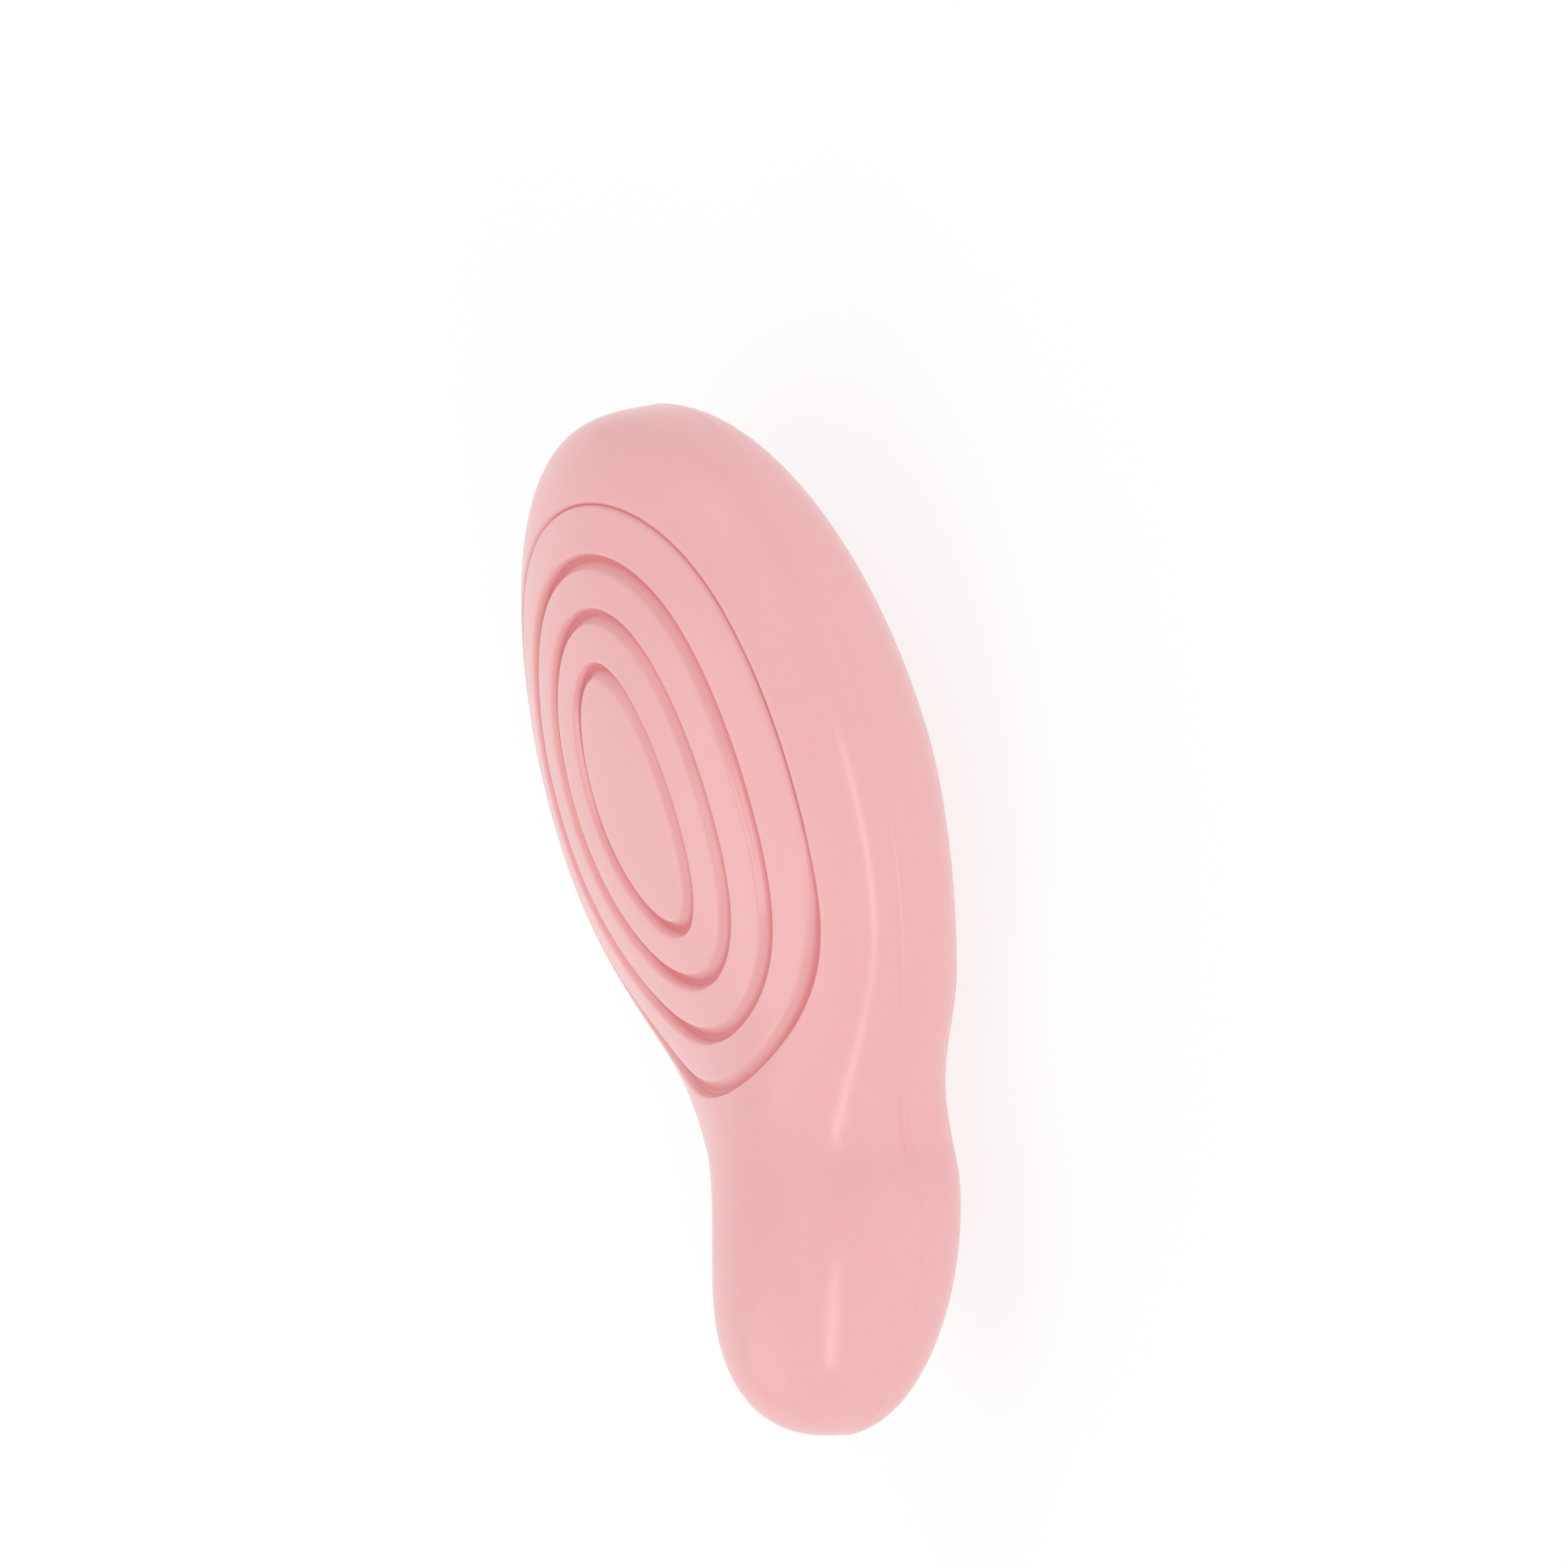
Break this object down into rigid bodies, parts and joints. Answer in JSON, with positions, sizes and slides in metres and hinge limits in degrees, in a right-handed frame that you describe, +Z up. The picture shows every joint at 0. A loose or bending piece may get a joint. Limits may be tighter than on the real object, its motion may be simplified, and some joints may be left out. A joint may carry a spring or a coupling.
{
  "type": "bar of soap",
  "caption": "Moulded bar of soap with a broad oval head, concentric oval grooves in its face, a narrow waist, a rounded grip end and a fine mould seam round the edge.",
  "frame": {"origin": "centre of the bar's box, at the height of the surface that it lies on", "axes": "+X from the grip end to the tip of the head, +Y across the bar, +Z up out of the grooved face; the bar lies on its back"},
  "size_m": [0.12, 0.0672, 0.0322],
  "materials": {
    "soap": "smooth satin surface as it leaves the mould, slightly translucent pink"
  },
  "bodies": {
    "root": {"soap_bar": "soap"}
  },
  "joints": []
}
